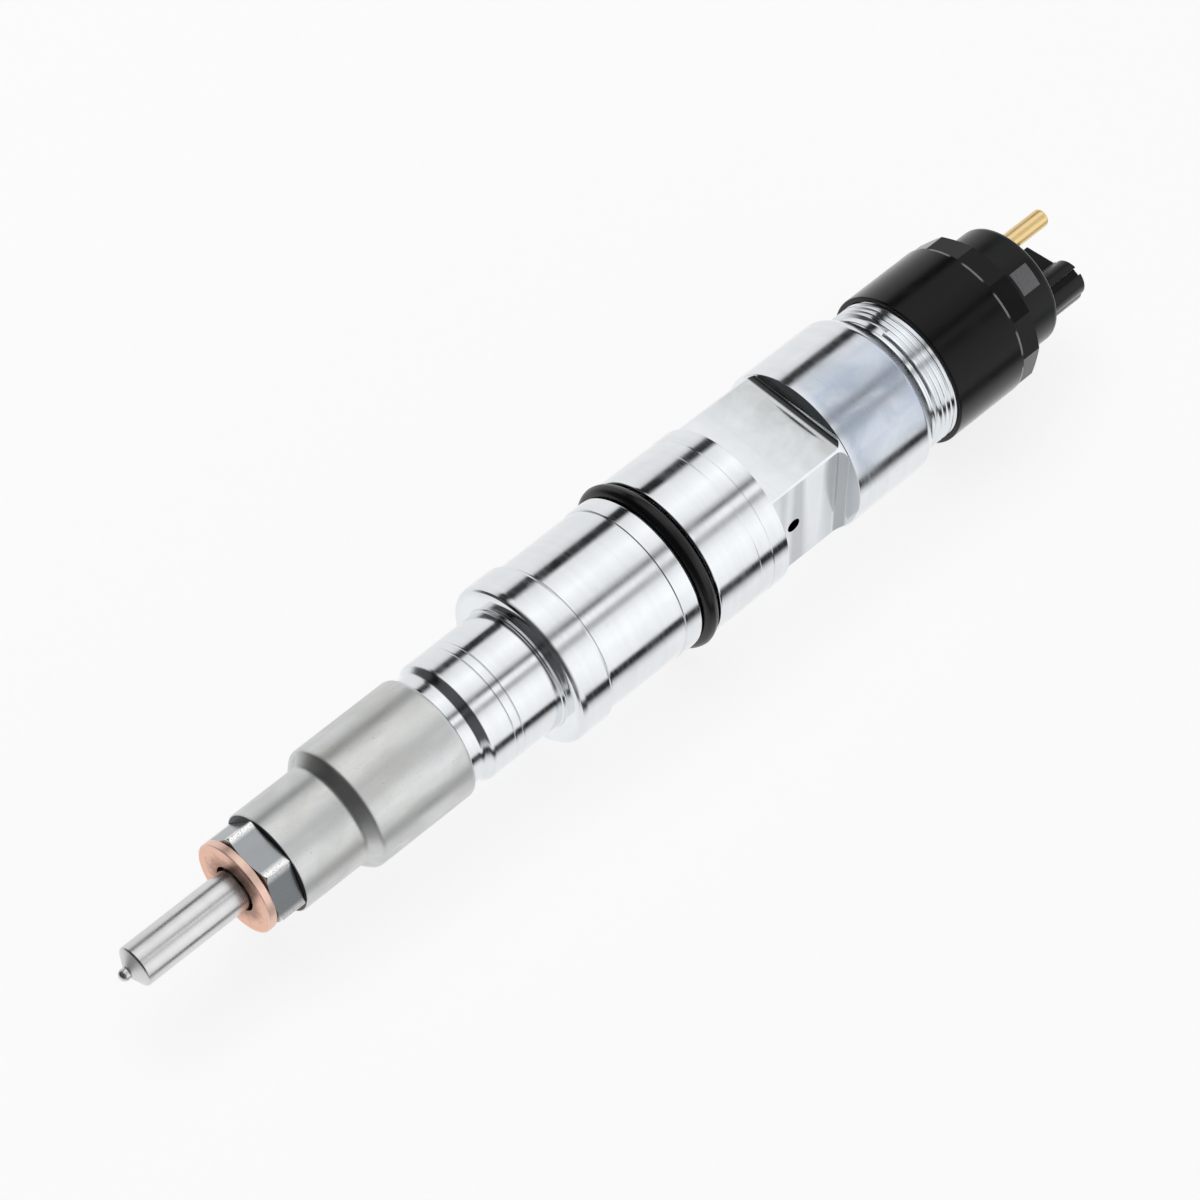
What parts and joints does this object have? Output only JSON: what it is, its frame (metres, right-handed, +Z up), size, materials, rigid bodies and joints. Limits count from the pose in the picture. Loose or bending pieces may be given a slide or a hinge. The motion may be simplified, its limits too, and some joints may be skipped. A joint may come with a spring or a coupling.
{
  "type": "common-rail fuel injector",
  "caption": "Diesel common-rail injector with a needle nozzle, copper seat washer, stepped steel body with clamp flats, servo valve and solenoid under a black nut.",
  "frame": {"origin": "on the axis, at the front face of the copper washer that seals in the cylinder head", "axes": "+X along the axis from the nozzle to the terminals, +Z up as the injector lies, with the clamp flats facing Y and Z"},
  "size_m": [0.2068, 0.0306, 0.0306],
  "materials": {
    "nozzle_steel": "ground and polished hardened steel",
    "nut_steel": "satin grey hardened steel, turned and tumbled",
    "body_steel": "bright zinc-plated turned steel",
    "copper": "satin copper with brown tarnish at the bore",
    "seal_rubber": "glossy black rubber",
    "seal_polymer": "filled polymer seal",
    "backup_polymer": "ivory polymer",
    "hardened_steel": "ground hardened steel",
    "spring_steel": "dark spring wire",
    "magnet_iron": "sintered soft iron",
    "winding": "enamelled copper wire",
    "bobbin_plastic": "brown moulded plastic",
    "terminal_gold": "pale gold plating, satin",
    "head_plastic": "black glass-filled plastic, fine moulded grain",
    "black_nut": "satin black coated steel"
  },
  "bodies": {
    "injector": {"nozzle_body": "nozzle_steel", "sealing_washer": "copper", "nozzle_nut": "nut_steel", "dowel_pins": "hardened_steel", "nozzle_spring": "spring_steel", "spring_shim": "hardened_steel", "injector_body": "body_steel", "body_seal_ring": "seal_rubber", "valve_piece": "hardened_steel", "valve_seal_ring": "seal_polymer", "valve_backup_ring": "backup_polymer", "valve_clamp_screw": "nut_steel", "lift_shim": "hardened_steel", "armature_guide": "hardened_steel", "armature_spring": "spring_steel", "gap_shim": "hardened_steel", "magnet_core": "magnet_iron", "coil_bobbin": "bobbin_plastic", "coil_winding": "winding", "valve_spring": "spring_steel", "valve_spring_shim": "hardened_steel", "magnet_sleeve": "nut_steel", "solenoid_seal_ring": "seal_rubber", "terminal_seals": "seal_rubber", "terminal_pin_1": "terminal_gold", "terminal_pin_2": "terminal_gold", "connector_head": "head_plastic", "solenoid_nut": "black_nut"},
    "needle": {"nozzle_needle": "hardened_steel", "spring_seat": "hardened_steel"},
    "plunger": {"control_plunger": "hardened_steel"},
    "armature": {"armature_pin": "hardened_steel", "lock_washer": "hardened_steel"},
    "armature_disc": {"armature_plate": "magnet_iron"},
    "valve": {"valve_ball": "hardened_steel", "ball_guide": "hardened_steel"}
  },
  "joints": [
    {"name": "needle_lift", "type": "slide", "parent": "injector", "child": "needle", "axis": [1, 0, 0], "range_m": [0, 0.0003], "stiffness_N_per_m": 400, "springref_m": -0.01, "deforming": ["nozzle_spring"]},
    {"name": "plunger_lift", "type": "slide", "parent": "injector", "child": "plunger", "axis": [1, 0, 0], "range_m": [0, 0.0003]},
    {"name": "armature_lift", "type": "slide", "parent": "injector", "child": "armature", "axis": [1, 0, 0], "range_m": [0, 0.00006], "stiffness_N_per_m": 300, "springref_m": -0.01, "deforming": ["valve_spring"]},
    {"name": "valve_lift", "type": "slide", "parent": "injector", "child": "valve", "axis": [1, 0, 0], "range_m": [0, 0.00006]},
    {"name": "plate_overtravel", "type": "slide", "parent": "armature", "child": "armature_disc", "axis": [1, 0, 0], "range_m": [-0.0001, 0], "stiffness_N_per_m": 200, "springref_m": 0.005, "deforming": ["armature_spring"]}
  ],
  "couplings": [
    {"joint": "plunger_lift", "follows": "needle_lift", "ratio": 1},
    {"joint": "valve_lift", "follows": "armature_lift", "ratio": 1}
  ]
}
